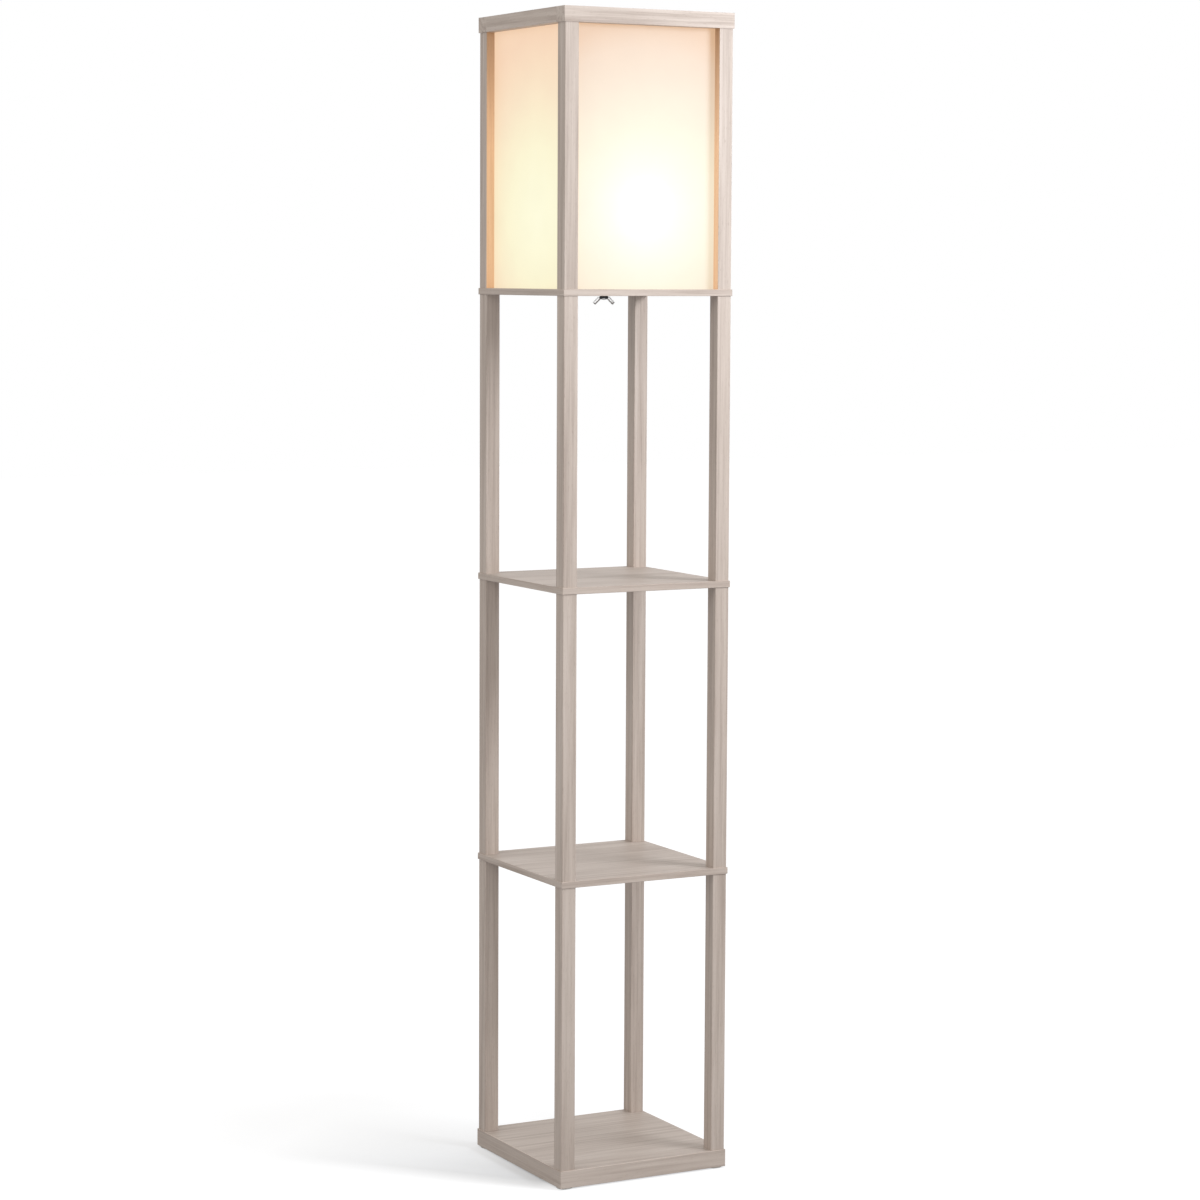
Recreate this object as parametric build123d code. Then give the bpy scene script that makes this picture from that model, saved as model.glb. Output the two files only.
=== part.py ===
"""A free-standing floor lamp built as a square shelf tower: a base board, two open shelves and a lamp
platform on four stacks of square posts, and above the platform a lantern of four translucent panels
held in grooved posts under an open-topped cap frame. A bulb stands in a lampholder at the middle of
the platform, and a wing nut under the platform holds the lampholder's bolt.

Millimetres. Z is up, the origin is on the floor under the middle of the tower, and the front is -Y.
"""

import os
from math import sqrt

from build123d import *

# ---- The tower ----------------------------------------------------------------------------------
WIDTH = 260.0  # side of every board and of the cap
PAD_H = 2.0  # feet under the base board
BASE_T = 24.0
POST_L = 391.0  # the twelve posts of the three open bays
SHELF_T = 9.0
LAMP_POST_L = 353.0
CAP_H = 21.0

POST_W = 21.0
POST_INSET = 1.5  # from a board's edge to the outer face of a post
POST_ARRIS = 0.6
BAND_T = 0.8  # edge banding glued round the thin boards
BASE_BAND_T = 2.0
BAND_ARRIS = 0.5
FIT = 0.05  # radial play of what is pressed or glued into a bore

BASE_BOTTOM = PAD_H
BASE_TOP = BASE_BOTTOM + BASE_T
LOWER_SHELF = BASE_TOP + POST_L  # undersides of the three thin boards
UPPER_SHELF = LOWER_SHELF + SHELF_T + POST_L
PLATFORM = UPPER_SHELF + SHELF_T + POST_L
DECK = PLATFORM + SHELF_T  # the platform's top face
CAP_BOTTOM = DECK + LAMP_POST_L
TOP = CAP_BOTTOM + CAP_H
TIERS = {  # where each tier's posts start
    "lower": BASE_TOP,
    "middle": LOWER_SHELF + SHELF_T,
    "upper": UPPER_SHELF + SHELF_T,
}
THIN_BOARDS = (LOWER_SHELF, UPPER_SHELF, PLATFORM)

HALF = WIDTH / 2
POST_OUT = HALF - POST_INSET
POST_IN = POST_OUT - POST_W
POST_MID = (POST_OUT + POST_IN) / 2
CORNERS = {
    "front_left": (-1, -1),
    "front_right": (1, -1),
    "back_left": (-1, 1),
    "back_right": (1, 1),
}
POST_PLACES = [(sx * POST_MID, sy * POST_MID) for sx, sy in CORNERS.values()]

# ---- Knock-down fasteners, all M6 ---------------------------------------------------------------
THREAD_R = 2.9
CLEAR_R = 3.3
INSERT_R = 4.4
INSERT_BORE_R = 3.0
INSERT_L = 13.0
INSERT_BORE_DEPTH = 18.0  # in the post
STUD_REACH = 11.5  # how far a joining stud goes into each post
STUD_END_GAP = 0.5
HEAD_R = 6.0
HEAD_H = 4.0
HEX_KEY = 4.0  # across the flats of the key socket
HEX_DEPTH = 2.5
BOLT_REACH = 13.0
BASE_RECESS_R = 7.5
BASE_RECESS_H = 9.0
CAP_RECESS_R = 6.5
CAP_RECESS_H = 8.0
PLUG_T = 2.0
PLUG_SUNK = 0.2
PAD_R = 11.0
BOLT_TIP_CHAMFER = 0.5
PLUG_CHAMFER = 0.4

# ---- Lantern ------------------------------------------------------------------------------------
PANEL_T = 1.2
PANEL_RECESS = 12.5  # from the outer face of a post to the outer face of a panel
GROOVE_W = 2.0
GROOVE_DEPTH = 5.0
PANEL_GAP = 0.5  # play at the two ends of a panel and above it
CAP_GROOVE_DEPTH = 4.0
RAIL_W = 24.0
DOWEL_R = 3.0
DOWEL_IN_LONG = 6.5  # a dowel's reach into the front or back rail
DOWEL_IN_SIDE = 17.5
DOWEL_END_GAP = 0.5
DOWEL_Z = 8.5  # above the cap's underside: over the panel grooves, under the bolt recesses

PANEL_OUT = POST_OUT - PANEL_RECESS
PANEL_MID = PANEL_OUT - PANEL_T / 2
GROOVE_END = POST_IN + GROOVE_DEPTH
PANEL_TOP = CAP_BOTTOM + CAP_GROOVE_DEPTH - PANEL_GAP

# ---- Lampholder and its fixing; heights are above the deck --------------------------------------
CUP_FLANGE_R = 26.0
CUP_FLANGE_H = 1.6
CUP_FOOT_R = 24.0
CUP_WAIST_R = 21.0
CUP_WAIST_Z = 12.0
CUP_NECK_R = 19.5
CUP_H = 20.0
CUP_WALL = 2.6
CUP_FLOOR = 3.0
CORD_INLET_Z = 12.5
CORD_INLET_R = 3.9
BUSH_BORE_R = 2.8
BUSH_LIP_R = 5.5
BUSH_LIP = (23.6, 25.2)  # the lip's inner and outer face, from the axis
BUSH_INNER_END = 17.5
SLEEVE_R = 20.0
SLEEVE_BORE_R = 17.6
SLEEVE_TOP = 64.0
SLEEVE_LEDGE_R = 15.0  # of the opening in the ledge that the core rests on
SLEEVE_COLLAR = 1.6  # how far the collar at the top stands out
SLEEVE_COLLAR_H = 8.5
SLEEVE_LIP_R = 14.6
SLEEVE_LIP_H = 2.0
RIB_COUNT = 5
RIB_PITCH = 5.0
RIB_DEPTH = 1.1
RIB_LOW = 26.0
CORE_R = 17.5
CORE_BOTTOM = 24.0
CORE_SHOULDER = 28.0
CORE_TOP = 32.0
RIVET_BORE_R = 2.0
RIVET_R = 1.9
RIVET_TAIL = 1.5
SHELL_BORE_R = 13.5
SHELL_WALL = 0.5
SHELL_FOOT_R = 9.0
SHELL_TOP = 61.0
TONGUE_T = 0.5
TONGUE_W = 6.0
BULB_TIP = 36.0
TERMINAL_X = 8.0
TERMINAL_R = 1.5
TERMINAL_HEAD_R = 2.8
TERMINAL_HEAD_H = 2.2
TERMINAL_L = 5.5
TERMINAL_BORE_DEPTH = 6.0
TERMINAL_SLOT = (0.8, 1.0)  # width and depth

HOLDER_BOLT_R = 2.95
HOLDER_BOLT_HEAD_AF = 10.0
WASHER_R = 6.5
WASHER_T = 1.2
NUT_BORE_R = 3.0
NUT_HUB_R = 5.9
NUT_HUB_H = 4.5
NUT_TURN_DEG = -28.0  # how the wings stand, about the bolt
WING_T = 2.6
WING_WEB = 1.0
WING_ROUND = 1.1
WING_EYE_R = 0.8
BOLT_TAIL = 0.7  # of the bolt below the nut

# ---- Cord hole in the platform ------------------------------------------------------------------
CORD_HOLE = (96.0, 96.0)
CORD_HOLE_R = 5.0
GROMMET_BORE_R = 3.5
GROMMET_LIP_R = 7.5
GROMMET_LIP_H = 1.5
PLATFORM_HOLES = [(0, 0, CLEAR_R), (*CORD_HOLE, CORD_HOLE_R)]

# ---- Bulb, 60 mm pear with a 26 mm screw cap; heights are above its tip -------------------------
BULB_CAP_R = 13.0
BULB_CAP_FOOT = 4.5
BULB_CAP_TOP = 27.0
BULB_TIP_R = 4.8
BULB_TIP_H = 1.6
BULB_NECK_R = 14.0
BULB_R = 30.0
BULB_CENTRE = 80.0
BULB_SEAM = 66.0
BULB_WALL = 1.5


# ---- Basic shapes -------------------------------------------------------------------------------
def block(x, y, z):
    """A box between the (low, high) pairs x, y and z."""
    size = [abs(b - a) for a, b in (x, y, z)]
    return Pos(*[(a + b) / 2 for a, b in (x, y, z)]) * Box(*size)


def rod(x, y, low, high, radius):
    """An upright cylinder."""
    return Pos(x, y, (low + high) / 2) * Cylinder(radius, high - low)


def turned(points, x=0.0, y=0.0, z=0.0):
    """A solid of revolution from a closed outline of (radius, height) points, about an upright axis."""
    face = Plane.XZ * make_face(Polyline(*points, close=True))
    return Pos(x, y, z) * revolve(face, Axis.Z)


def group(solids):
    """Separate solids that share one node."""
    return Compound(children=list(solids))


# ---- Boards and banding -------------------------------------------------------------------------
def board(low, thickness, band, holes=()):
    """A square board's core, inside its edge bands, with a stud hole under each post."""
    core = HALF - band
    body = block((-core, core), (-core, core), (low, low + thickness))
    for x, y in POST_PLACES:
        body -= rod(x, y, low, low + thickness, CLEAR_R)
    for x, y, radius in holes:
        body -= rod(x, y, low, low + thickness, radius)
    return body


def edge_bands(low, thickness, band):
    """Four strips round a board: the side ones run past the ends of the front and back ones."""
    inner = HALF - band
    height = (low, low + thickness)
    strips = []
    for side in (-1, 1):
        across = (side * inner, side * HALF)
        outer_first = 0 if side < 0 else -1
        side_strip = block(across, (-HALF, HALF), height)
        outer = side_strip.faces().sort_by(Axis.X)[outer_first]
        strips.append(chamfer(outer.edges(), BAND_ARRIS))
        end_strip = block((-inner, inner), across, height)
        outer = end_strip.faces().sort_by(Axis.Y)[outer_first]
        strips.append(chamfer(outer.edges().filter_by(Axis.X), BAND_ARRIS))
    return group(strips)


def base_board():
    """The thick bottom board, with a recess under each post for a bolt head."""
    body = board(BASE_BOTTOM, BASE_T, BASE_BAND_T)
    for x, y in POST_PLACES:
        body -= rod(x, y, BASE_BOTTOM, BASE_BOTTOM + BASE_RECESS_H, BASE_RECESS_R)
    return body


def foot_pads():
    """Round pads stuck over the bolt recesses."""
    return group(rod(x, y, 0, PAD_H, PAD_R) for x, y in POST_PLACES)


# ---- Posts --------------------------------------------------------------------------------------
def post(sx, sy, low, length):
    """A square post with softened arrises, bored for an insert in its top end. In its bottom end, a post
    on the base board has another insert, and a post on a thin board has a stud screwed into the wood."""
    x, y = sx * POST_MID, sy * POST_MID
    bar = Pos(x, y, low + length / 2) * Box(POST_W, POST_W, length)
    bar = chamfer(bar.edges().filter_by(Axis.Z), POST_ARRIS)
    bar -= rod(x, y, low + length - INSERT_BORE_DEPTH, low + length, INSERT_R + FIT)
    if low == BASE_TOP:
        return bar - rod(x, y, low, low + INSERT_BORE_DEPTH, INSERT_R + FIT)
    return bar - rod(x, y, low, low + STUD_REACH + STUD_END_GAP, THREAD_R + FIT)


def lamp_post(sx, sy):
    """A post of the lantern, grooved down its two inner sides for the panels."""
    bar = post(sx, sy, DECK, LAMP_POST_L)
    slot = sorted((PANEL_MID - GROOVE_W / 2, PANEL_MID + GROOVE_W / 2))
    reach = (POST_IN, GROOVE_END)
    height = (DECK, CAP_BOTTOM)
    bar -= block([sx * v for v in reach], [sy * v for v in slot], height)
    bar -= block([sx * v for v in slot], [sy * v for v in reach], height)
    return bar


def post_inserts():
    """The threaded tubes in the tops of all posts and in the bottoms of the lowest four."""
    tops = [*(low + POST_L for low in TIERS.values()), CAP_BOTTOM]
    heights = [(BASE_TOP, BASE_TOP + INSERT_L), *((top - INSERT_L, top) for top in tops)]
    return group(
        rod(x, y, low, high, INSERT_R) - rod(x, y, low, high, INSERT_BORE_R)
        for low, high in heights
        for x, y in POST_PLACES
    )


# ---- Fasteners ----------------------------------------------------------------------------------
def key_bolt(x, y, head_face, way, shank):
    """A cheese-head bolt with a hexagon key socket. way is +1 for a bolt that points up."""
    head_end = head_face - way * HEAD_H
    head = rod(x, y, *sorted((head_end, head_face)), HEAD_R)
    body = head + rod(x, y, *sorted((head_face, head_face + way * shank)), THREAD_R)
    socket = extrude(RegularPolygon(HEX_KEY / sqrt(3), 6), HEX_DEPTH)
    low = head_end if way > 0 else head_end - HEX_DEPTH
    return body - Pos(x, y, low) * socket


def base_bolts():
    """Bolts up through the base board into the lowest posts."""
    face = BASE_BOTTOM + BASE_RECESS_H
    shank = BASE_TOP - face + BOLT_REACH
    return group(key_bolt(x, y, face, 1, shank) for x, y in POST_PLACES)


def joining_studs():
    """Studs down through the thin boards, from the posts above into the inserts of the posts below."""
    return group(
        rod(x, y, low - STUD_REACH, low + SHELF_T + STUD_REACH, THREAD_R)
        for low in THIN_BOARDS
        for x, y in POST_PLACES
    )


def cap_bolts():
    """Bolts down through the cap into the lantern's posts."""
    face = TOP - CAP_RECESS_H
    shank = face - CAP_BOTTOM + BOLT_REACH
    return group(key_bolt(x, y, face, -1, shank) for x, y in POST_PLACES)


def cap_plugs():
    """Plastic covers pressed into the cap's bolt recesses."""
    top = TOP - PLUG_SUNK
    discs = [rod(x, y, top - PLUG_T, top, CAP_RECESS_R - FIT) for x, y in POST_PLACES]
    return group(chamfer(d.edges().group_by(Axis.Z)[-1], PLUG_CHAMFER) for d in discs)


# ---- Cap frame and panels -----------------------------------------------------------------------
def panel_grooves():
    """Grooves in the cap's underside, one over each panel."""
    slot = (PANEL_MID - GROOVE_W / 2, PANEL_MID + GROOVE_W / 2)
    height = (CAP_BOTTOM, CAP_BOTTOM + CAP_GROOVE_DEPTH)
    along = (-GROOVE_END, GROOVE_END)
    cuts = []
    for side in (-1, 1):
        across = [side * v for v in slot]
        cuts += [block(along, across, height), block(across, along, height)]
    return cuts


def dowels(radius, end_gap):
    """Rods lying front to back across the joints of the rails, one to a joint."""
    rail_mid = HALF - RAIL_W / 2
    length = DOWEL_IN_LONG + DOWEL_IN_SIDE + 2 * end_gap
    middle = HALF - RAIL_W + (DOWEL_IN_LONG - DOWEL_IN_SIDE) / 2
    return [
        Pos(sx * rail_mid, sy * middle, CAP_BOTTOM + DOWEL_Z) * Rot(90, 0, 0) * Cylinder(radius, length)
        for sx, sy in CORNERS.values()
    ]


def cap_long_rail(side):
    """The front or back rail: it runs the whole width and takes the bolts."""
    rail = block((-HALF, HALF), (side * HALF, side * (HALF - RAIL_W)), (CAP_BOTTOM, TOP))
    for sx in (-1, 1):
        x, y = sx * POST_MID, side * POST_MID
        rail -= rod(x, y, CAP_BOTTOM, TOP, CLEAR_R)
        rail -= rod(x, y, TOP - CAP_RECESS_H, TOP, CAP_RECESS_R)
    return finished_rail(rail)


def cap_side_rail(side):
    """A side rail, between the front and back rails."""
    inner = HALF - RAIL_W
    return finished_rail(block((side * HALF, side * inner), (-inner, inner), (CAP_BOTTOM, TOP)))


def finished_rail(rail):
    """A rail with its share of the panel grooves and dowel holes."""
    for cut in panel_grooves() + dowels(DOWEL_R + FIT, DOWEL_END_GAP):
        rail -= cut
    return rail


def panel(axis_is_x, side):
    """One translucent sheet, standing on the deck with its edges in the grooves."""
    reach = GROOVE_END - PANEL_GAP
    across = [side * PANEL_OUT, side * (PANEL_OUT - PANEL_T)]
    along = (-reach, reach)
    height = (DECK, PANEL_TOP)
    if axis_is_x:
        return block(across, along, height)
    return block(along, across, height)


# ---- Lampholder ---------------------------------------------------------------------------------
def holder_cup():
    """The moulded foot of the lampholder: a hollow, waisted cup with a side inlet for the cord."""
    outline = [
        (CLEAR_R, 0),
        (CUP_FLANGE_R, 0),
        (CUP_FLANGE_R, CUP_FLANGE_H),
        (CUP_FOOT_R, CUP_FLOOR),
        (CUP_WAIST_R, CUP_WAIST_Z),
        (CUP_NECK_R, CUP_H),
        (CUP_NECK_R - CUP_WALL, CUP_H),
        (CUP_WAIST_R - CUP_WALL, CUP_WAIST_Z),
        (CUP_FOOT_R - CUP_WALL, CUP_FLOOR),
        (CLEAR_R, CUP_FLOOR),
    ]
    return turned(outline, z=DECK) - cord_way(CORD_INLET_R, CUP_NECK_R / 2, CUP_FLANGE_R)


def cord_way(radius, near, far):
    """A horizontal cylinder towards the back, on the line of the lampholder's cord inlet."""
    return Pos(0, (near + far) / 2, DECK + CORD_INLET_Z) * Rot(90, 0, 0) * Cylinder(radius, far - near)


def cord_bush():
    """A rubber bush in the cup's side, with a lip outside."""
    barrel = cord_way(CORD_INLET_R - FIT, BUSH_INNER_END, BUSH_LIP[1])
    return barrel + cord_way(BUSH_LIP_R, *BUSH_LIP) - cord_way(BUSH_BORE_R, 0, CUP_FLANGE_R)


def holder_sleeve():
    """The outer sleeve: ribbed outside for a grip, with a ledge for the core and a lip at its mouth."""
    ribs = []
    for n in range(RIB_COUNT):
        z = RIB_LOW + n * RIB_PITCH
        ribs += [(SLEEVE_R, z), (SLEEVE_R - RIB_DEPTH, z + RIB_PITCH / 4), (SLEEVE_R, z + RIB_PITCH / 2)]
    collar_low = SLEEVE_TOP - SLEEVE_COLLAR_H
    outline = [
        (SLEEVE_LEDGE_R, CUP_H),
        (SLEEVE_R, CUP_H),
        *ribs,
        (SLEEVE_R, collar_low - SLEEVE_COLLAR),
        (SLEEVE_R + SLEEVE_COLLAR, collar_low),
        (SLEEVE_R + SLEEVE_COLLAR, SLEEVE_TOP - 1),
        (SLEEVE_R + SLEEVE_COLLAR - 1, SLEEVE_TOP),
        (SLEEVE_LIP_R, SLEEVE_TOP),
        (SLEEVE_LIP_R, SLEEVE_TOP - SLEEVE_LIP_H),
        (SLEEVE_BORE_R, SLEEVE_TOP - SLEEVE_LIP_H),
        (SLEEVE_BORE_R, CORE_BOTTOM),
        (SLEEVE_LEDGE_R, CORE_BOTTOM),
    ]
    return turned(outline, z=DECK)


def holder_core():
    """The ceramic carrier on the sleeve's ledge: a stepped disc that bears the screw shell."""
    outline = [
        (RIVET_BORE_R, CORE_BOTTOM),
        (CORE_R, CORE_BOTTOM),
        (CORE_R, CORE_SHOULDER),
        (SHELL_BORE_R, CORE_SHOULDER),
        (SHELL_BORE_R, CORE_TOP),
        (RIVET_BORE_R, CORE_TOP),
    ]
    core = turned(outline, z=DECK)
    for sx in (-1, 1):
        bottom = DECK + CORE_BOTTOM
        core -= rod(sx * TERMINAL_X, 0, bottom, bottom + TERMINAL_BORE_DEPTH, TERMINAL_R + FIT)
    return core


def screw_shell():
    """The threaded contact that the bulb's cap turns in, with a turned-in foot."""
    outer = SHELL_BORE_R + SHELL_WALL
    outline = [
        (SHELL_FOOT_R, CORE_TOP),
        (outer, CORE_TOP),
        (outer, SHELL_TOP),
        (SHELL_BORE_R, SHELL_TOP),
        (SHELL_BORE_R, CORE_TOP + SHELL_WALL),
        (SHELL_FOOT_R, CORE_TOP + SHELL_WALL),
    ]
    return turned(outline, z=DECK)


def centre_contact():
    """The bent springy tongue under the bulb's tip, with its rivet through the core."""
    low, high = DECK + CORE_TOP, DECK + BULB_TIP
    path = [
        (-2.5, low),
        (5.5, low),
        (5.5, low + TONGUE_T),
        (3.0, high),
        (-3.0, high),
        (-3.0, high - TONGUE_T),
        (2.4, high - TONGUE_T),
        (4.0, low + TONGUE_T),
        (-2.5, low + TONGUE_T),
    ]
    tongue = extrude(Plane.XZ * make_face(Polyline(*path, close=True)), TONGUE_W / 2, both=True)
    return tongue + rod(0, 0, DECK + CORE_BOTTOM - RIVET_TAIL, low + TONGUE_T, RIVET_R)


def terminal_screws():
    """Two slotted screws under the core, where the cord's wires are clamped."""
    low = DECK + CORE_BOTTOM
    head_low = low - TERMINAL_HEAD_H
    slot_width, slot_depth = TERMINAL_SLOT
    screws = []
    for x in (-TERMINAL_X, TERMINAL_X):
        screw = rod(x, 0, head_low, low, TERMINAL_HEAD_R) + rod(x, 0, low, low + TERMINAL_L, TERMINAL_R)
        across = (x - 2 * TERMINAL_HEAD_R, x + 2 * TERMINAL_HEAD_R)
        slot = block(across, (-slot_width / 2, slot_width / 2), (head_low, head_low + slot_depth))
        screws.append(screw - slot)
    return group(screws)


def holder_bolt():
    """The hexagon-head bolt in the cup's floor that hangs through the platform."""
    head_low = DECK + CUP_FLOOR
    head = extrude(RegularPolygon(HOLDER_BOLT_HEAD_AF / sqrt(3), 6), HEAD_H)
    tail = PLATFORM - WASHER_T - NUT_HUB_H - BOLT_TAIL
    shank = rod(0, 0, tail, head_low, HOLDER_BOLT_R)
    shank = chamfer(shank.edges().group_by(Axis.Z)[0], BOLT_TIP_CHAMFER)
    return Pos(0, 0, head_low) * head + shank


# ---- Washer and wing nut ------------------------------------------------------------------------
def nut_washer():
    """The flat washer between the platform and the wing nut."""
    low, high = PLATFORM - WASHER_T, PLATFORM
    return rod(0, 0, low, high, WASHER_R) - rod(0, 0, low, high, CLEAR_R)


def wing():
    """One pressed wing in the XZ plane, to the right of the axis: a rim round a thinner web."""
    corners = [(4.6, -0.4), (8.4, -0.4), (15.7, -8.6), (11.9, -12.6), (4.6, -4.2)]
    field = [(8.0, -2.3), (13.9, -8.7), (11.9, -10.8), (6.2, -4.3)]
    outline = make_face(Polyline(*corners, close=True))
    outline = fillet(outline.vertices().sort_by(Axis.X)[-2:], WING_ROUND)
    plate = extrude(Plane.XZ * outline, WING_T / 2, both=True)
    pocket = extrude(Plane.XZ * make_face(Polyline(*field, close=True)), (WING_T - WING_WEB) / 2)
    plate -= Pos(0, -WING_WEB / 2, 0) * pocket
    plate -= Pos(0, WING_T / 2, 0) * pocket
    eye = Pos(9.4, 0, -5.6) * Rot(90, 0, 0) * Cylinder(WING_EYE_R, WING_T)
    return plate - eye


def wing_nut():
    """A pressed wing nut: a hub that narrows downwards and two wings that slope outwards and down."""
    hub = turned(
        [
            (0, 0),
            (NUT_HUB_R, 0),
            (NUT_HUB_R, -NUT_HUB_H / 2),
            (NUT_HUB_R - 1.8, -NUT_HUB_H),
            (0, -NUT_HUB_H),
        ]
    )
    one = wing()
    body = hub + one + Rot(0, 0, 180) * one
    body -= rod(0, 0, -2 * NUT_HUB_H, NUT_HUB_H, NUT_BORE_R)
    return Pos(0, 0, PLATFORM - WASHER_T) * Rot(0, 0, NUT_TURN_DEG) * body


# ---- Cord hole ----------------------------------------------------------------------------------
def cord_grommet():
    """A rubber grommet in the platform, with a lip on each face."""
    outline = [
        (GROMMET_BORE_R, -GROMMET_LIP_H),
        (GROMMET_LIP_R, -GROMMET_LIP_H),
        (GROMMET_LIP_R, 0),
        (CORD_HOLE_R - FIT, 0),
        (CORD_HOLE_R - FIT, SHELF_T),
        (GROMMET_LIP_R, SHELF_T),
        (GROMMET_LIP_R, SHELF_T + GROMMET_LIP_H),
        (GROMMET_BORE_R, SHELF_T + GROMMET_LIP_H),
    ]
    return turned(outline, *CORD_HOLE, PLATFORM)


# ---- Bulb ---------------------------------------------------------------------------------------
def bulb_contact():
    """The solder tip, which rests on the centre contact."""
    outline = [(0, 0), (BULB_TIP_R - 1, 0), (BULB_TIP_R, 0.6), (BULB_TIP_R, BULB_TIP_H), (0, BULB_TIP_H)]
    return turned(outline, z=DECK + BULB_TIP)


def bulb_insulator():
    """The black cone between the tip and the cap."""
    outline = [
        (0, BULB_TIP_H),
        (BULB_TIP_R + 0.6, BULB_TIP_H),
        (BULB_CAP_R - 2.4, BULB_CAP_FOOT),
        (0, BULB_CAP_FOOT),
    ]
    return turned(outline, z=DECK + BULB_TIP)


def bulb_cap():
    """The metal screw cap."""
    outline = [
        (0, BULB_CAP_FOOT),
        (BULB_CAP_R - 2.4, BULB_CAP_FOOT),
        (BULB_CAP_R, BULB_CAP_FOOT + 2.5),
        (BULB_CAP_R, BULB_CAP_TOP),
        (0, BULB_CAP_TOP),
    ]
    return turned(outline, z=DECK + BULB_TIP)


def globe_radius(height):
    """The radius of the globe's sphere at a height above the tip."""
    return sqrt(BULB_R**2 - (height - BULB_CENTRE) ** 2)


def bulb_housing():
    """The flared white body between the cap and the globe."""
    seam = globe_radius(BULB_SEAM)
    flare = ThreePointArc(
        (BULB_NECK_R, BULB_CAP_TOP + 5), (BULB_NECK_R + 3.6, BULB_CAP_TOP + 20), (seam, BULB_SEAM)
    )
    rest = Polyline(
        (seam, BULB_SEAM),
        (0, BULB_SEAM),
        (0, BULB_CAP_TOP),
        (BULB_NECK_R, BULB_CAP_TOP),
        (BULB_NECK_R, BULB_CAP_TOP + 5),
    )
    return Pos(0, 0, DECK + BULB_TIP) * revolve(Plane.XZ * make_face(flare + rest), Axis.Z)


def bulb_globe():
    """The opal dome, hollow, sitting on the housing."""
    outer = Pos(0, 0, BULB_CENTRE) * Sphere(BULB_R)
    inner = Pos(0, 0, BULB_CENTRE) * Sphere(BULB_R - BULB_WALL)
    below = Pos(0, 0, BULB_SEAM - BULB_R) * Cylinder(2 * BULB_R, 2 * BULB_R)
    return Pos(0, 0, DECK + BULB_TIP) * (outer - inner - below)


# ---- The list of nodes --------------------------------------------------------------------------
def nodes():
    """Every node's name and solid."""
    made = {
        "foot_pads": foot_pads(),
        "base_board": base_board(),
        "base_edge_bands": edge_bands(BASE_BOTTOM, BASE_T, BASE_BAND_T),
        "base_bolts": base_bolts(),
        "lower_shelf": board(LOWER_SHELF, SHELF_T, BAND_T),
        "lower_shelf_edge_bands": edge_bands(LOWER_SHELF, SHELF_T, BAND_T),
        "upper_shelf": board(UPPER_SHELF, SHELF_T, BAND_T),
        "upper_shelf_edge_bands": edge_bands(UPPER_SHELF, SHELF_T, BAND_T),
        "lamp_platform": board(PLATFORM, SHELF_T, BAND_T, PLATFORM_HOLES),
        "platform_edge_bands": edge_bands(PLATFORM, SHELF_T, BAND_T),
        "joining_studs": joining_studs(),
        "post_inserts": post_inserts(),
        "cap_front_rail": cap_long_rail(-1),
        "cap_back_rail": cap_long_rail(1),
        "cap_left_rail": cap_side_rail(-1),
        "cap_right_rail": cap_side_rail(1),
        "cap_dowels": group(dowels(DOWEL_R, 0)),
        "cap_bolts": cap_bolts(),
        "cap_plugs": cap_plugs(),
        "shade_panel_front": panel(False, -1),
        "shade_panel_back": panel(False, 1),
        "shade_panel_left": panel(True, -1),
        "shade_panel_right": panel(True, 1),
        "holder_cup": holder_cup(),
        "holder_cord_bush": cord_bush(),
        "holder_sleeve": holder_sleeve(),
        "holder_core": holder_core(),
        "holder_screw_shell": screw_shell(),
        "holder_centre_contact": centre_contact(),
        "holder_terminal_screws": terminal_screws(),
        "holder_bolt": holder_bolt(),
        "nut_washer": nut_washer(),
        "wing_nut": wing_nut(),
        "cord_grommet": cord_grommet(),
        "bulb_contact": bulb_contact(),
        "bulb_insulator": bulb_insulator(),
        "bulb_cap": bulb_cap(),
        "bulb_housing": bulb_housing(),
        "bulb_globe": bulb_globe(),
    }
    for corner, (sx, sy) in CORNERS.items():
        for tier, low in TIERS.items():
            made[f"{tier}_post_{corner}"] = post(sx, sy, low, POST_L)
        made[f"lamp_post_{corner}"] = lamp_post(sx, sy)
    return made


def main():
    """Writes one STEP file for each node."""
    os.makedirs("parts", exist_ok=True)
    for name, solid in nodes().items():
        export_step(solid, f"parts/{name}.step")


main()
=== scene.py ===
"""The looks of a square shelf floor lamp: grained laminate boards and posts, a lit lantern of four
translucent sheets, the lampholder with its bulb, and the small hardware, in a plain white studio.

Metres, in the lamp's own frame: Z is up, the origin is on the floor under the middle, the front is -Y.
"""

import logging
import math
from collections.abc import Callable, Iterator, Sequence
from contextlib import contextmanager
from dataclasses import dataclass
from enum import Enum
from functools import partial
from itertools import pairwise
from typing import ClassVar

import bmesh
import bpy
from mathutils import Matrix, Vector


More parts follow.
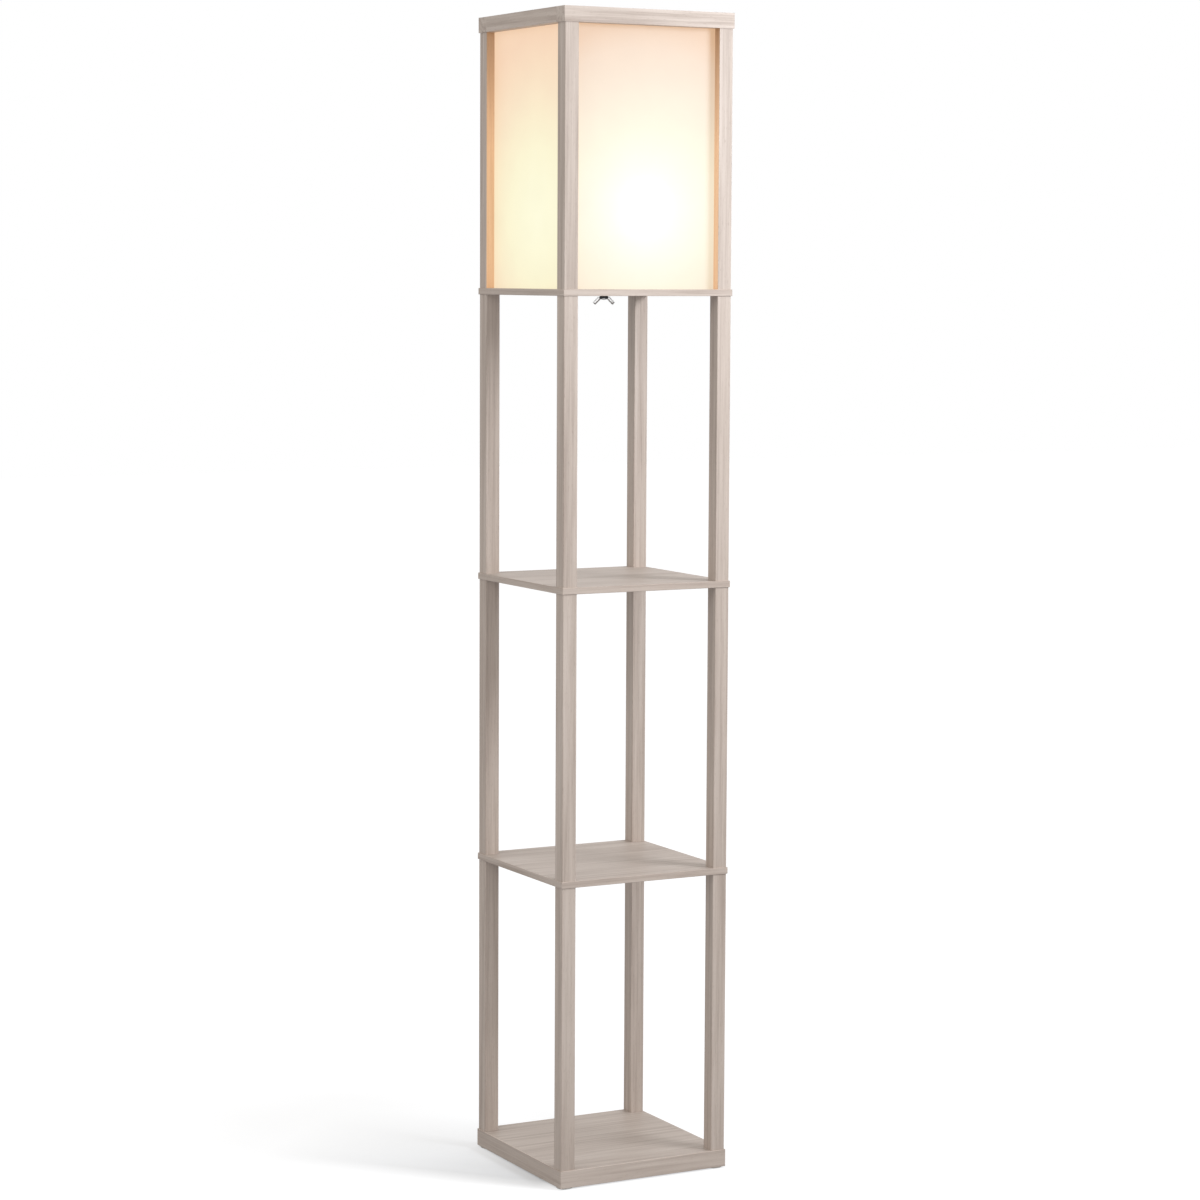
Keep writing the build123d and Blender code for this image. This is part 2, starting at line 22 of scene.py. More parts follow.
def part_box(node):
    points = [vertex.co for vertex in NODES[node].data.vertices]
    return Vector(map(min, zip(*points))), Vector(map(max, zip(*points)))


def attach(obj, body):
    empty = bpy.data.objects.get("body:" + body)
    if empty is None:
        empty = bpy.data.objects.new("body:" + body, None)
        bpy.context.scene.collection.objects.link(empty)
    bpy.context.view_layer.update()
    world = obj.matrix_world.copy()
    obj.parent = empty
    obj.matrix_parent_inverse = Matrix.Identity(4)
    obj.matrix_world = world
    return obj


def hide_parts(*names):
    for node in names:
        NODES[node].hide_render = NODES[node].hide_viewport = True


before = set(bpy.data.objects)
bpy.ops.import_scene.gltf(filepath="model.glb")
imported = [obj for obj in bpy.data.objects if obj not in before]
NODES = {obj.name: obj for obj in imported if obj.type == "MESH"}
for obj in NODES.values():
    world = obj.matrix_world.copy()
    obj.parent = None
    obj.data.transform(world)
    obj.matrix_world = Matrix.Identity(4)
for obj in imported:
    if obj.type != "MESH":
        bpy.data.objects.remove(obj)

Colour = tuple[float, float, float]
Point = tuple[float, float, float]
Pair = tuple[float, float]
Outline = list[Pair]
Node = bpy.types.Node
Socket = bpy.types.NodeSocket
Piece = bpy.types.Object

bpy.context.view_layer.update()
MM = 0.001
HAIR = 0.1 * MM
WELD = 0.004 * MM
SHARP_ABOVE = math.radians(30)
SMOOTH_BELOW = math.radians(34)
WING_TURN = math.radians(-28)
CORNERS = ("front_left", "front_right", "back_left", "back_right")
TIERS = ("lower", "middle", "upper", "lamp")
SIDES = ("front", "back", "left", "right")
UNIT = (0.0, 1.0)
NOISE = (0.3, 0.7)  # where soft noise mostly lies
WHITE = (1.0, 1.0, 1.0)

log = logging.getLogger("shelf_lamp")


def middle(node: str) -> Vector:
    """The centre of a CAD node's box."""
    low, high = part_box(node)
    return (low + high) / 2


def shade(level: float, tint: Colour = WHITE) -> Colour:
    """A colour of one brightness, tinted."""
    return tuple(level * channel for channel in tint)


# ---- Node trees
class NodeTree:
    """A node tree while it is put together."""

    def __init__(self, tree: bpy.types.NodeTree) -> None:
        """Takes up a tree to add to."""
        self.tree = tree

    def add(self, kind: str, **settings: object) -> Node:
        """Adds a node and sets its plain settings.

        Args:
            kind: Blender's name of the node type.
            **settings: Attributes of the node and their values.

        Returns:
            The node.
        """
        node = self.tree.nodes.new(kind)
        for setting, value in settings.items():
            setattr(node, setting, value)
        return node

    def plug(self, socket: Socket, value: object) -> None:
        """Gives an input a value, or links it where the value is another node's output.

        Args:
            socket: The input.
            value: A number, a colour, a vector or an output socket.
        """
        if isinstance(value, Socket):
            self.tree.links.new(value, socket)
        elif isinstance(value, tuple) and socket.type == "RGBA":
            socket.default_value = (*value, 1.0)
        else:
            socket.default_value = value

    def wire(self, node: Node, **values: object) -> Node:
        """Plugs a node's inputs by name.

        Args:
            node: The node.
            **values: The inputs' names, with underscores for spaces, and what they get.

        Returns:
            The node.
        """
        for socket, value in values.items():
            self.plug(node.inputs[socket.replace("_", " ")], value)
        return node

    def maths(self, operation: str, *values: object) -> Socket:
        """One arithmetic step.

        Args:
            operation: Blender's name of it.
            *values: Its operands, numbers or outputs.

        Returns:
            The result.
        """
        node = self.add("ShaderNodeMath", operation=operation)
        for socket, value in zip(node.inputs, values):
            self.plug(socket, value)
        return node.outputs["Value"]

    def squares(self, first: Socket, second: Socket) -> Socket:
        """The sum of two values' squares."""
        return self.maths("MULTIPLY_ADD", first, first, self.maths("MULTIPLY", second, second))

    def mix(
        self, factor: object, first: object, second: object, blend: str = "MIX", kind: str = "RGBA"
    ) -> Socket:
        """Two colours or vectors mixed.

        Args:
            factor: Share of the second.
            first: A value or output.
            second: A value or output.
            blend: Blender's name of the way that colours are mixed.
            kind: Blender's name of what is mixed, RGBA or VECTOR.

        Returns:
            The result.
        """
        node = self.wire(self.add("ShaderNodeMix", data_type=kind, blend_type=blend), Factor=factor)
        ends = [socket for socket in node.inputs if socket.type == kind and socket.name in "AB"]
        self.plug(ends[0], first)
        self.plug(ends[1], second)
        return next(socket for socket in node.outputs if socket.type == kind)

    def seen(self) -> Socket:
        """Tells the rays that show a thing from those that light it.

        Returns:
            1 for a ray from the camera, a reflection or a see-through surface, and 0 for others.
        """
        path = self.add("ShaderNodeLightPath").outputs
        mirror = self.maths("MAXIMUM", path["Is Glossy Ray"], path["Is Transmission Ray"])
        return self.maths("MAXIMUM", path["Is Camera Ray"], mirror)


class Recipe(NodeTree):
    """A material's node tree, whose patterns lie in the lamp's frame."""

    def __init__(self, name: str) -> None:
        """Starts a material.

        Args:
            name: The material's name.
        """
        self.material = bpy.data.materials.new(name)
        self.material.use_nodes = True
        super().__init__(self.material.node_tree)
        self.shader = self.tree.nodes["Principled BSDF"]
        self.place = self.add("ShaderNodeTexCoord").outputs["Object"]

    def set(self, **values: object) -> None:
        """Plugs the shader's inputs, each named with underscores for spaces."""
        self.wire(self.shader, **values)

    def colour(self) -> Socket:
        """The output that the shader's colour comes from so far."""
        return self.shader.inputs["Base Color"].links[0].from_socket

    def axes(self) -> tuple[Socket, ...]:
        """The lamp's x, y and z as values."""
        return tuple(self.wire(self.add("ShaderNodeSeparateXYZ"), Vector=self.place).outputs)

    def mapped(self, scale: Point, location: Point) -> Socket:
        """The lamp's coordinates, stretched and then moved, in metres."""
        node = self.wire(self.add("ShaderNodeMapping"), Vector=self.place, Scale=scale, Location=location)
        return node.outputs["Vector"]

    def noise(self, vector: Socket, scale: float, detail: float = 2.0, distortion: float = 0.0) -> Socket:
        """Soft noise from 0 to 1: its place, features per metre, octaves of finer noise and warping."""
        form = {"Scale": scale, "Detail": detail, "Distortion": distortion}
        return self.wire(self.add("ShaderNodeTexNoise"), Vector=vector, **form).outputs["Fac"]

    def ramp(self, factor: Socket, stops: Sequence[tuple[float, Colour]]) -> Socket:
        """A colour that changes with a value.

        Args:
            factor: The value.
            stops: Positions from 0 to 1, each with its colour.

        Returns:
            The colour output.
        """
        node = self.wire(self.add("ShaderNodeValToRGB"), Fac=factor)
        elements = node.color_ramp.elements
        while len(elements) < len(stops):
            elements.new(1.0)
        for element, (position, colour) in zip(elements, stops):
            element.position = position
            element.color = (*colour, 1.0)
        return node.outputs["Color"]

    def span(self, value: object, source: Pair, target: Pair) -> Socket:
        """A value carried from one range to another, and kept inside it.

        Args:
            value: The value.
            source: Its low and high end.
            target: What they become.

        Returns:
            The result.
        """
        node = self.add("ShaderNodeMapRange")
        for socket, number in zip(node.inputs, (value, *source, *target)):
            self.plug(socket, number)
        return node.outputs["Result"]

    def bump(self, height: Socket, depth: float, strength: float) -> None:
        """Roughens the surface by a relief from 0 to 1, its depth in metres and how much of it shows."""
        node = self.wire(self.add("ShaderNodeBump"), Height=height, Distance=depth, Strength=strength)
        self.set(Normal=node.outputs["Normal"])


# ---- Finishes
class Grain(Enum):
    """Which way the printed grain of a laminate runs."""

    ALONG_X = (1.0, 0.0, 0.0)
    ALONG_Y = (0.0, 1.0, 0.0)
    UPRIGHT = (0.0, 0.0, 1.0)
    ROUND_THE_EDGE = (0.0, 0.0, 0.0)


@dataclass(frozen=True)
class Finish:
    """A surface finish. It belongs to a material slot of the record."""

    slot: str
    name: str

    def material(self) -> bpy.types.Material:
        """Makes the finish's material.

        Returns:
            The material.
        """
        recipe = Recipe(self.name)
        self.fill(recipe)
        return recipe.material

    def fill(self, recipe: Recipe) -> None:
        """Puts the finish's nodes into a recipe.

        Args:
            recipe: An empty recipe.
        """
        raise NotImplementedError


@dataclass(frozen=True)
class Streaks:
    """One layer of a printed grain: streaks a metre, times shorter, octaves, warping and weight."""

    density: float
    shorter: float
    detail: float
    distortion: float = 0.0
    weight: float = 0.0


FIGURE = Streaks(42, 3, 2.0, 0.8, 0.30)
BANDS = Streaks(190, 1, 4.0, 0.35, 0.46)
FINE = Streaks(750, 1, 2.0, 0.0, 0.24)
PORES = Streaks(1500, 4, 1.0)


@dataclass(frozen=True)
class Laminate(Finish):
    """Paper foil printed with a pale greige oak grain."""

    grain: Grain = Grain.ALONG_X
    offset: Point = (0.0, 0.0, 0.0)
    dark: Colour = (0.440, 0.366, 0.322)
    plain: Colour = (0.550, 0.471, 0.420)
    light: Colour = (0.630, 0.550, 0.498)
    stretch: float = 48.0
    contrast: float = 1.0
    spread: float = 0.125
    gloss: Pair = (0.56, 0.46)
    pore_edge: Pair = (0.63, 0.74)
    pore_depth: float = 0.30
    relief: float = 0.05 * MM

    def along(self, recipe: Recipe, grain: Grain, stretch: float) -> Socket:
        """Coordinates drawn out along a straight grain, as many times as the stretch says."""
        scale = tuple(1.0 / stretch if axis else 1.0 for axis in grain.value)
        return recipe.mapped(scale, self.offset)

    def layer(self, recipe: Recipe, streaks: Streaks) -> Socket:
        """One layer of the grain.

        Args:
            recipe: The recipe.
            streaks: What the layer is like.

        Returns:
            Its tone, from 0 to 1.
        """
        stretch = self.stretch / streaks.shorter
        if self.grain is Grain.ROUND_THE_EDGE:
            x, y, _ = recipe.axes()
            on_a_side = recipe.maths("GREATER_THAN", recipe.maths("ABSOLUTE", x), recipe.maths("ABSOLUTE", y))
            ways = [self.along(recipe, grain, stretch) for grain in (Grain.ALONG_X, Grain.ALONG_Y)]
            place = recipe.mix(on_a_side, *ways, kind="VECTOR")
        else:
            place = self.along(recipe, self.grain, stretch)
        return recipe.noise(place, streaks.density, streaks.detail, streaks.distortion)

    def fill(self, recipe: Recipe) -> None:
        """Puts broad figure, fine streaks and short pores over the plain colour.

        Args:
            recipe: An empty recipe.
        """
        layers = {streaks: self.layer(recipe, streaks) for streaks in (FIGURE, BANDS, FINE, PORES)}
        tone = 0.0
        for streaks in (FIGURE, BANDS, FINE):
            tone = recipe.maths("MULTIPLY_ADD", layers[streaks], streaks.weight, tone)
        spread = self.spread / self.contrast
        stops = ((0.5 - spread, self.dark), (0.5, self.plain), (0.5 + spread, self.light))
        printed = recipe.ramp(tone, stops)
        pore = recipe.span(layers[PORES], self.pore_edge, (0.0, self.pore_depth * self.contrast))
        recipe.set(
            Base_Color=recipe.mix(pore, printed, self.dark, "MULTIPLY"),
            Roughness=recipe.span(tone, NOISE, self.gloss),
            Specular_IOR_Level=0.3,
        )
        recipe.bump(recipe.maths("SUBTRACT", layers[FINE], pore), self.relief, 0.5)


@dataclass(frozen=True)
class LitLaminate(Laminate):
    """The lantern posts' laminate: the sheets' warm light is painted on their flanks in front of the sheets.
    """

    flank: float = 107.5 * MM
    flatness: float = 0.3 * MM
    sheet: float = 116.0 * MM
    # The flanks' painted glow, and the painted warm tints of their colour near the bulb's level and far from
    # it.
    glow: Colour = (0.34, 0.16, 0.06)
    painted_warm_tint: Colour = (1.0, 0.89, 0.75)
    painted_faint_tint: Colour = (0.81, 0.66, 0.50)
    level: float = 1.320
    fade: Pair = (0.10, 0.24)
    faintest: float = 0.25

    def fill(self, recipe: Recipe) -> None:
        """Paints the sheets' warm light on the flanks: a glow, and the printed grain tinted warmer.

        Args:
            recipe: An empty recipe.
        """
        super().fill(recipe)
        x, y, z = recipe.axes()
        across, along = recipe.maths("ABSOLUTE", x), recipe.maths("ABSOLUTE", y)
        flanks = []
        for one, other in ((across, along), (along, across)):
            on_plane = recipe.maths("COMPARE", one, self.flank, self.flatness)
            outside = recipe.maths("GREATER_THAN", other, self.sheet)
            flanks.append(recipe.maths("MULTIPLY", on_plane, outside))
        flank = recipe.maths("MAXIMUM", *flanks)
        # Painted light from the sheets: brightest at the bulb's level, fading above and below it.
        away = recipe.maths("ABSOLUTE", recipe.maths("SUBTRACT", z, self.level))
        lit = recipe.maths("MULTIPLY", flank, recipe.span(away, self.fade, (1.0, self.faintest)))
        painted_warm_tint = recipe.mix(recipe.span(away, self.fade, (1.0, 0.0)), self.painted_faint_tint, self.painted_warm_tint)
        printed = recipe.colour()
        recipe.set(
            Base_Color=recipe.mix(flank, printed, recipe.mix(1.0, printed, painted_warm_tint, "MULTIPLY")),
            Emission_Color=recipe.mix(lit, shade(0.0), self.glow),
            Emission_Strength=1.0,
        )


@dataclass(frozen=True)
class GlowSpot:
    """The bulb's light painted on a sheet, falling off with the distance from the place nearest to the bulb.

    Places and distances are in metres.
    """

    level: float
    aside: float
    reach: float
    stops: tuple[tuple[float, Colour], ...]


# Painted light: the front and back sheets get a white hot spot and the side sheets a dimmer glow; the last
# stops darken the sheet's top, painted shade under the cap.
FRONT_GLOW = GlowSpot(1.332, 0.0, 0.250, (
    (0.000, (1.00, 0.93, 0.85)),
    (0.028, (0.87, 0.82, 0.75)),
    (0.038, (0.82, 0.765, 0.70)),
    (0.052, (0.79, 0.725, 0.64)),
    (0.082, (0.78, 0.695, 0.55)),
    (0.112, (0.75, 0.655, 0.48)),
    (0.142, (0.70, 0.59, 0.43)),
    (0.172, (0.67, 0.53, 0.385)),
    (0.217, (0.64, 0.455, 0.31)),
    (0.250, (0.59, 0.36, 0.20)),
))
SIDE_GLOW = GlowSpot(1.325, -0.03, 0.250, (
    (0.000, (0.82, 0.80, 0.56)),
    (0.050, (0.82, 0.79, 0.54)),
    (0.090, (0.81, 0.76, 0.505)),
    (0.130, (0.80, 0.698, 0.46)),
    (0.170, (0.79, 0.623, 0.415)),
    (0.210, (0.78, 0.563, 0.37)),
    (0.240, (0.775, 0.528, 0.345)),
))


@dataclass(frozen=True)
class ShadeSheet(Finish):
    """A matt white plastic sheet, with the bulb's light through it painted on as a glow."""

    across: int
    spot: GlowSpot
    sheet: Colour = (0.20, 0.20, 0.198)
    fibre_tone: Colour = (0.175, 0.175, 0.175)
    fibres: float = 900.0
    cloud_tone: Colour = (0.97, 0.97, 0.97)
    clouds: float = 26.0
    relief: float = 0.02 * MM

    def fill(self, recipe: Recipe) -> None:
        """Paints the bulb's light on the sheet: a glow round the bulb's level that fades to the top and the
        corners.

        Args:
            recipe: An empty recipe.
        """
        axes = recipe.axes()
        rise = recipe.maths("SUBTRACT", axes[2], self.spot.level)
        along = recipe.maths("SUBTRACT", axes[self.across], self.spot.aside)
        distance = recipe.maths("SQRT", recipe.squares(along, rise))
        share = recipe.maths("DIVIDE", distance, self.spot.reach)
        lit = recipe.ramp(share, [(away / self.spot.reach, colour) for away, colour in self.spot.stops])
        cloud = recipe.span(recipe.noise(recipe.place, self.clouds, 3.0), NOISE, UNIT)
        fibre = recipe.noise(recipe.place, self.fibres)
        mottle = recipe.ramp(cloud, ((0.0, self.cloud_tone), (1.0, WHITE)))
        recipe.set(
            Base_Color=recipe.mix(recipe.span(fibre, NOISE, (0.0, 0.1)), self.sheet, self.fibre_tone),
            Emission_Color=recipe.mix(1.0, lit, mottle, "MULTIPLY"),
            Emission_Strength=1.0,
            Roughness=0.55,
        )
        recipe.bump(fibre, self.relief, 0.3)


@dataclass(frozen=True)
class Mottled(Finish):
    """One colour with clouds of a second one, over a fine relief whose depth is in millimetres."""

    colour: Colour
    clouded: Colour
    roughness: float
    relief: float = 0.03
    grain: float = 1600.0
    coat: float = 0.0
    metallic: ClassVar[float] = 0.0
    clouds: ClassVar[float] = 140.0
    cloud_edge: ClassVar[Pair] = (0.35, 0.65)
    gloss: ClassVar[Pair] = (-0.05, 0.07)
    relief_share: ClassVar[float] = 0.6

    def fill(self, recipe: Recipe) -> None:
        """Puts the clouds and the relief on the plain colour.

        Args:
            recipe: An empty recipe.
        """
        cloud = recipe.noise(recipe.place, self.clouds, 3.0)
        fine = recipe.noise(recipe.place, self.grain)
        recipe.set(
            Base_Color=recipe.mix(recipe.span(cloud, self.cloud_edge, UNIT), self.colour, self.clouded),
            Metallic=self.metallic,
            Roughness=recipe.span(fine, NOISE, tuple(self.roughness + change for change in self.gloss)),
            Coat_Weight=self.coat,
        )
        recipe.bump(fine, self.relief * MM, self.relief_share)


@dataclass(frozen=True)
class Moulded(Mottled):
    """Moulded plastic, rubber or glazed ceramic."""


@dataclass(frozen=True)
class Metal(Mottled):
    """Bare or plated metal, with smaller clouds and a finer relief."""

    relief: float = 0.02
    grain: float = 2400.0
    metallic: ClassVar[float] = 1.0
    clouds: ClassVar[float] = 320.0
    cloud_edge: ClassVar[Pair] = (0.35, 0.70)
    gloss: ClassVar[Pair] = (-0.06, 0.10)
    relief_share: ClassVar[float] = 0.5


@dataclass(frozen=True)
class PressedNickel(Metal):
    """Bright nickel on a pressing, with painted dark reflections on its edges and painted shade on its hub.
    """

    # The painted dark reflection on the edges, and the painted shade on the hub's top up under the platform.
    edge: Colour = (0.16, 0.16, 0.165)
    shadow: Colour = (0.03, 0.03, 0.032)
    turn: float = WING_TURN
    facing: Pair = (0.72, 0.96)
    hub_radius: float = 6.2 * MM
    hub_shade: Pair = (1.2118, 1.2130)

    def fill(self, recipe: Recipe) -> None:
        """Paints shade on the hub's top and dark reflections on what doesn't face the way the wings' broad
        faces do.

        Args:
            recipe: An empty recipe.
        """
        super().fill(recipe)
        dot = recipe.add("ShaderNodeVectorMath", operation="DOT_PRODUCT")
        recipe.plug(dot.inputs[0], recipe.place.node.outputs["Normal"])
        recipe.plug(dot.inputs[1], (-math.sin(self.turn), math.cos(self.turn), 0.0))
        # Painted reflection: faces turned away from the way of the wings' broad faces get the dark edge
        # colour.
        broad = recipe.span(recipe.maths("ABSOLUTE", dot.outputs["Value"]), self.facing, UNIT)
        x, y, z = recipe.axes()
        # Painted shade: the hub's top, up under the platform, gets the shadow colour.
        wing = recipe.maths("GREATER_THAN", recipe.squares(x, y), self.hub_radius ** 2)
        bright = recipe.maths("MAXIMUM", wing, recipe.span(z, self.hub_shade, (1.0, 0.0)))
        surface = recipe.mix(broad, self.edge, recipe.colour())
        recipe.set(Base_Color=recipe.mix(bright, self.shadow, surface))


@dataclass(frozen=True)
class OpalGlow(Finish):
    """The bulb's opal dome, which gives off a warm light, brightest at its crown."""

    glow: Colour = (1.0, 0.72, 0.42)
    rim_z: float = 1.328
    crown_z: float = 1.372
    levels: tuple[Pair, ...] = ((0.0, 0.55), (0.25, 0.9), (1.0, 1.0))
    strength: float = 6.0
    grain: float = 700.0
    relief: float = 0.02 * MM

    def fill(self, recipe: Recipe) -> None:
        """Lets the dome glow, a little less by its seam.

        Args:
            recipe: An empty recipe.
        """
        _, _, z = recipe.axes()
        share = recipe.span(z, (self.rim_z, self.crown_z), UNIT)
        lit = recipe.ramp(share, [(place, shade(level, self.glow)) for place, level in self.levels])
        skin = recipe.noise(recipe.place, self.grain)
        recipe.set(
            Base_Color=recipe.mix(recipe.span(skin, NOISE, UNIT), shade(0.86), shade(0.8)),
            Emission_Color=lit,
            Emission_Strength=self.strength,
            Roughness=0.3,
        )
        recipe.bump(skin, self.relief, 0.4)


POST_GRAIN = {
    tier: (LitLaminate if tier == "lamp" else Laminate)(
        "greige_laminate", f"post_laminate_{tier}", Grain.UPRIGHT, (0.37 * n, 0.61 * n, 0.0)
    )
    for n, tier in enumerate(TIERS)
}
BOARD_GRAIN = Laminate(
    "greige_laminate",
    "board_laminate",
    Grain.ALONG_X,
    dark=(0.398, 0.334, 0.296),
    plain=(0.498, 0.430, 0.386),
    light=(0.570, 0.502, 0.457),
    contrast=0.9,
)
BAND_GRAIN = Laminate("edge_banding", "edge_laminate", Grain.ROUND_THE_EDGE, (0.21, 0.13, 0.0))
LONG_RAIL_GRAIN = Laminate(
    "greige_laminate", "long_rail_laminate", Grain.ALONG_X, (0.0, 0.4, 0.3), contrast=1.5
)
SIDE_RAIL_GRAIN = Laminate(
    "greige_laminate", "side_rail_laminate", Grain.ALONG_Y, (0.5, 0.0, 0.3), contrast=1.4
)
BEECH = Laminate(
    "beech",
    "dowel_beech",
    Grain.ALONG_Y,
    dark=(0.44, 0.26, 0.13),
    plain=(0.57, 0.36, 0.20),
    light=(0.66, 0.45, 0.27),
    stretch=14.0,
)
FRONT_SHEET = ShadeSheet("shade_sheet", "lit_sheet_front", 0, FRONT_GLOW)
SIDE_SHEET = ShadeSheet("shade_sheet", "lit_sheet_side", 1, SIDE_GLOW)
ZINC = Metal("zinc_steel", "bright_zinc", (0.74, 0.745, 0.75), shade(0.62), 0.30)
BRIGHT_NUT = PressedNickel("zinc_steel", "pressed_nickel", shade(0.82), shade(0.66), 0.26, 0.03)
# The washer is coloured near black all over.
DARK_WASHER = Metal("zinc_steel", "near_black_steel", (0.050, 0.050, 0.053), (0.085, 0.083, 0.08), 0.45, 0.04)
CAP_METAL = Metal("bulb_cap_metal", "drawn_cap_metal", shade(0.80), shade(0.70), 0.26)
BRASS = Metal("contact_brass", "bright_brass", (0.80, 0.60, 0.30), (0.66, 0.47, 0.22), 0.30)
SOLDER = Metal("solder", "dull_solder", (0.60, 0.61, 0.62), (0.44, 0.45, 0.46), 0.48, 0.06)
HOLDER_PLASTIC = Moulded("holder_plastic", "holder_plastic", (0.84, 0.83, 0.80), (0.80, 0.79, 0.76), 0.42)
CERAMIC = Moulded(
    "holder_ceramic", "glazed_ceramic", (0.84, 0.81, 0.75), (0.78, 0.75, 0.69), 0.3, 0.05, grain=500, coat=0.4
)
RUBBER = Moulded("cord_rubber", "black_rubber", (0.020, 0.020, 0.021), (0.032, 0.032, 0.032), 0.62, 0.05)
PAD_RUBBER = Moulded(
    "foot_rubber", "pale_pad_rubber", (0.72, 0.70, 0.67), (0.62, 0.60, 0.57), 0.75, 0.09, grain=900
)
PLUG_PLASTIC = Moulded("plug_plastic", "plug_plastic", (0.545, 0.467, 0.417), (0.51, 0.437, 0.39), 0.5)
BULB_WHITE = Moulded("bulb_white", "bulb_housing_white", (0.84, 0.83, 0.81), (0.80, 0.79, 0.77), 0.35)
BULB_BLACK = Moulded(
    "bulb_black", "insulator_glass", (0.014, 0.013, 0.016), shade(0.02), 0.14, 0.01, grain=700, coat=0.5
)
OPAL = OpalGlow("bulb_opal", "lit_opal")


# ---- Bench tools: what is done by hand in edit mode
def primitive(add: Callable[..., set[str]], **form: object) -> Piece:
    """Adds a primitive that alone is selected.

    Args:
        add: The operator that adds it.
        **form: Its sizes and place.

    Returns:
        The primitive.
    """
    bpy.ops.object.select_all(action="DESELECT")
    add(**form)
    return bpy.context.object


def pick(piece: Piece) -> None:
    """Selects just one object and makes it active.

    Args:
        piece: The object.
    """
    bpy.ops.object.select_all(action="DESELECT")
    piece.select_set(True)
    bpy.context.view_layer.objects.active = piece


@contextmanager
def editing(piece: Piece) -> Iterator[None]:
    """Opens a piece in edit mode with all of it selected, and closes it again.

    Args:
        piece: A mesh object.
    """
    pick(piece)
    bpy.ops.object.mode_set(mode="EDIT")
    bpy.ops.mesh.select_mode(type="VERT")
    bpy.ops.mesh.select_all(action="SELECT")
    yield
    bpy.ops.object.mode_set(mode="OBJECT")


def select_faces(piece: Piece, test: Callable[[bmesh.types.BMFace], bool]) -> None:
    """Selects, in edit mode, just the faces that pass a test.

    Args:
        piece: The piece in edit mode.
        test: Says whether a face is wanted.
    """
    bpy.ops.mesh.select_mode(type="FACE")
    bpy.ops.mesh.select_all(action="DESELECT")
    mesh = bmesh.from_edit_mesh(piece.data)
    for face in mesh.faces:
        face.select_set(test(face))
    bmesh.update_edit_mesh(piece.data)


def drawn(name: str, points: Sequence[Point]) -> Piece:
    """Draws a line through points: a small plane is merged to one vertex, which is extruded on and on.

    Args:
        name: The new piece's name.
        points: The line's points, in metres.

    Returns:
        The piece, a line of edges with its object at the first point.
    """
    piece = primitive(bpy.ops.mesh.primitive_plane_add, size=MM, location=points[0])
    piece.name = piece.data.name = name
    with editing(piece):
        bpy.ops.mesh.merge(type="CENTER")
        for start, end in pairwise(points):
            step = tuple(b - a for a, b in zip(start, end))
            bpy.ops.mesh.extrude_region_move(TRANSFORM_OT_translate={"value": step})
    return piece


def settle(piece: Piece) -> Piece:
    """Puts a piece's place into its mesh, and shades it smooth except over sharp edges.

    Args:
        piece: The piece.

    Returns:
        The piece.
    """
    pick(piece)
    bpy.ops.object.transform_apply(location=True, rotation=True, scale=True)
    bpy.ops.object.shade_smooth_by_angle(angle=SMOOTH_BELOW)
    return piece


def turned(name: str, outline: Outline, x: float = 0.0, y: float = 0.0, steps: int = 64) -> Piece:
    """Turns a piece about an upright axis from its outline.

    Args:
        name: The new piece's name.
        outline: (radius, height) points in metres. It starts and ends on the axis, or ends where it starts.
        x: The axis's place.
        y: The axis's place.
        steps: Facets round the axis.

    Returns:
        The piece.
    """
    piece = drawn(name, [(x + radius, y, height) for radius, height in outline])
    with editing(piece):
        bpy.ops.mesh.spin(steps=steps, angle=math.tau, center=(x, y, 0), axis=(0, 0, 1))
        bpy.ops.mesh.select_all(action="SELECT")
        bpy.ops.mesh.remove_doubles(threshold=WELD)
        bpy.ops.mesh.normals_make_consistent(inside=False)
    return settle(piece)


def plate(name: str, outline: Sequence[Point], thickness: Point) -> Piece:
    """Cuts a flat plate: its outline is drawn, closed, filled and extruded.

    Args:
        name: The new piece's name.
        outline: The corners, in order.
        thickness: The way and distance that the outline is extruded.

    Returns:
        The piece, with its object at the first corner.
    """
    piece = drawn(name, outline)
    with editing(piece):
        bpy.ops.mesh.edge_face_add()
        bpy.ops.mesh.extrude_region_move(TRANSFORM_OT_translate={"value": thickness})
        bpy.ops.mesh.select_all(action="SELECT")
        bpy.ops.mesh.normals_make_consistent(inside=False)
    return piece


def apply_modifier(piece: Piece, kind: str, **settings: object) -> None:
    """Adds a modifier, sets it and applies it.

    Args:
        piece: The piece.
        kind: Blender's name of the modifier type.
        **settings: Its attributes.
    """
    pick(piece)
    modifier = piece.modifiers.new(kind.lower(), kind)
    for setting, value in settings.items():
        setattr(modifier, setting, value)
    bpy.ops.object.modifier_apply(modifier=modifier.name)


def soften(piece: Piece, width: float, segments: int = 2) -> None:
    """Rounds a piece's sharp edges.

    Args:
        piece: The piece.
        width: How far the rounding reaches from an edge, in metres.
        segments: Facets across the rounding.
    """
    limits = {"limit_method": "ANGLE", "angle_limit": SHARP_ABOVE}
    apply_modifier(piece, "BEVEL", width=width, segments=segments, **limits)


def copied(piece: Piece, name: str, change: Matrix) -> Piece:
    """Copies a piece with a mesh of its own, moved by a matrix.

    Args:
        piece: The piece to copy.
        name: The copy's name.
        change: How the copy is moved.

    Returns:
        The copy.
    """
    copy = piece.copy()
    copy.data = piece.data.copy()
    copy.name = copy.data.name = name
    bpy.context.scene.collection.objects.link(copy)
    copy.data.transform(change)
    return copy


def joined(pieces: Sequence[Piece]) -> Piece:
    """Joins pieces into one mesh of separate shells.

    Args:
        pieces: The pieces.

    Returns:
        The first piece, which now holds them all.
    """
    pick(pieces[0])
    for piece in pieces:
        piece.select_set(True)
    bpy.ops.object.join()
    return pieces[0]


